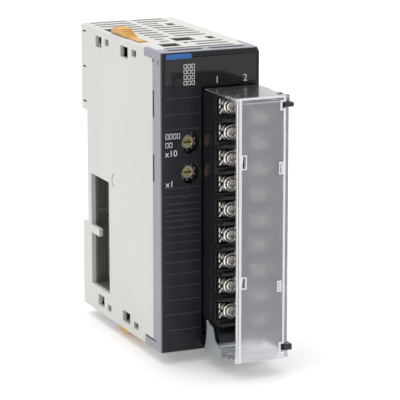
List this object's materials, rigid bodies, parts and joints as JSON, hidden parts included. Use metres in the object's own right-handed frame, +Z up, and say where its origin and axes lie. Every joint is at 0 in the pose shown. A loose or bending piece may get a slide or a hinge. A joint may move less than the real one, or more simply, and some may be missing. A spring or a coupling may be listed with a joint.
{
  "type": "plc input output module",
  "caption": "Slim rail-mounted PLC analog module with a removable screw terminal block, a hinged frosted cover, rotary setting dials and side bus connectors.",
  "frame": {"origin": "centre of the raised seat that rests against the front of the mounting rail", "axes": "+X to the right seen from the front, +Y out of the back towards the rail, +Z up"},
  "size_m": [0.0358, 0.089, 0.0944],
  "materials": {
    "case_plastic": "satin",
    "frame_plastic": "satin",
    "panel_plastic": "gloss",
    "lens_plastic": "gloss",
    "clear_plastic": "gloss",
    "led_resin": "gloss",
    "circuit_board": "satin",
    "connector_light": "matte",
    "switch_plastic": "matte",
    "brass_metal": "satin",
    "connector_dark": "matte",
    "gold_contact": "satin",
    "chip_resin": "matte",
    "capacitor_skin": "gloss",
    "bay_plastic": "satin",
    "dip_plastic": "satin",
    "white_plastic": "satin",
    "slider_plastic": "satin",
    "pin_plastic": "satin",
    "lever_plastic": "satin",
    "block_plastic": "gloss",
    "nickel_metal": "satin",
    "cover_plastic": "satin"
  },
  "bodies": {
    "root": {"case_body": "case_plastic", "side_cover": "case_plastic", "rear_cover": "case_plastic", "front_frame": "frame_plastic", "front_panel": "panel_plastic", "indicator_lens": "lens_plastic", "light_guide": "clear_plastic", "indicator_leds": "led_resin", "front_board": "circuit_board", "front_connector": "connector_light", "tens_switch_body": "switch_plastic", "units_switch_body": "switch_plastic", "bus_board": "circuit_board", "bus_socket": "connector_dark", "bus_socket_contacts": "gold_contact", "main_board": "circuit_board", "bus_plug": "connector_dark", "bus_plug_contacts": "gold_contact", "board_connector": "connector_dark", "main_chips": "chip_resin", "converter_module": "chip_resin", "capacitors": "capacitor_skin", "terminal_bay": "bay_plastic", "terminal_header": "bay_plastic", "header_pins": "gold_contact", "dip_switch_body": "dip_plastic"},
    "block": {"terminal_block": "block_plastic", "contact_sleeves": "gold_contact", "terminal_plates": "nickel_metal", "clamp_plates": "nickel_metal", "terminal_screws": "nickel_metal"},
    "cover": {"terminal_cover": "cover_plastic"},
    "tens_knob": {"tens_dial": "brass_metal"},
    "units_knob": {"units_dial": "brass_metal"},
    "input_switch_1": {"dip_lever_1": "white_plastic"},
    "input_switch_2": {"dip_lever_2": "white_plastic"},
    "upper_slider": {"top_slider": "slider_plastic"},
    "lower_slider": {"bottom_slider": "slider_plastic"},
    "rail_pin": {"din_pin": "pin_plastic"},
    "lever": {"lock_lever": "lever_plastic"}
  },
  "joints": [
    {"name": "block_pull", "type": "slide", "parent": "root", "child": "block", "axis": [0, -1, 0], "range_m": [0, 0.03]},
    {"name": "cover_hinge", "type": "hinge", "parent": "block", "child": "cover", "pos_m": [0.0138, -0.0835, -0.005], "axis": [0, 0, 1], "range_deg": [0, 110]},
    {"name": "lever_pivot", "type": "hinge", "parent": "root", "child": "lever", "pos_m": [0.0065, -0.0666, -0.0419], "axis": [1, 0, 0], "range_deg": [0, 20]},
    {"name": "tens_turn", "type": "hinge", "parent": "root", "child": "tens_knob", "pos_m": [-0.0062, -0.057, 0.0179], "axis": [0, -1, 0], "continuous": true},
    {"name": "units_turn", "type": "hinge", "parent": "root", "child": "units_knob", "pos_m": [-0.0062, -0.057, 0.0089], "axis": [0, -1, 0], "continuous": true},
    {"name": "input_switch_1_slide", "type": "slide", "parent": "root", "child": "input_switch_1", "axis": [0, 0, 1], "range_m": [0, 0.0015]},
    {"name": "input_switch_2_slide", "type": "slide", "parent": "root", "child": "input_switch_2", "axis": [0, 0, 1], "range_m": [0, 0.0015]},
    {"name": "upper_slider_slide", "type": "slide", "parent": "root", "child": "upper_slider", "axis": [0, 1, 0], "range_m": [0, 0.006]},
    {"name": "lower_slider_slide", "type": "slide", "parent": "root", "child": "lower_slider", "axis": [0, 1, 0], "range_m": [0, 0.006]},
    {"name": "rail_pin_slide", "type": "slide", "parent": "root", "child": "rail_pin", "axis": [0, 0, -1], "range_m": [0, 0.003]}
  ]
}
